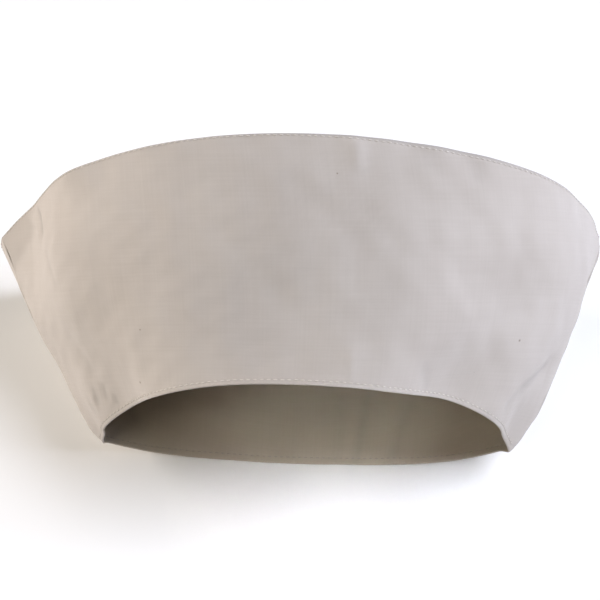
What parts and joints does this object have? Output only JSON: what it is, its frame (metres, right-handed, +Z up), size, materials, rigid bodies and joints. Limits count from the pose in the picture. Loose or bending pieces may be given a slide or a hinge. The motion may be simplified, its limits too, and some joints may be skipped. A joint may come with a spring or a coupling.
{
  "type": "bonnet",
  "caption": "Flared bonnet of stiff unbleached cotton canvas, lying on its back panel, with a hemmed rim, side seams and a closed oval crown.",
  "frame": {"origin": "middle of the bonnet's box, on the surface that it lies on", "axes": "+X from the left side seam to the right one, +Y from the opening towards the crown, +Z up from the surface"},
  "size_m": [0.316, 0.1278, 0.177],
  "materials": {
    "canvas": "plain-woven unbleached cotton, matte"
  },
  "bodies": {
    "root": {"front_panel": "canvas", "back_panel": "canvas", "crown_panel": "canvas"}
  },
  "joints": []
}
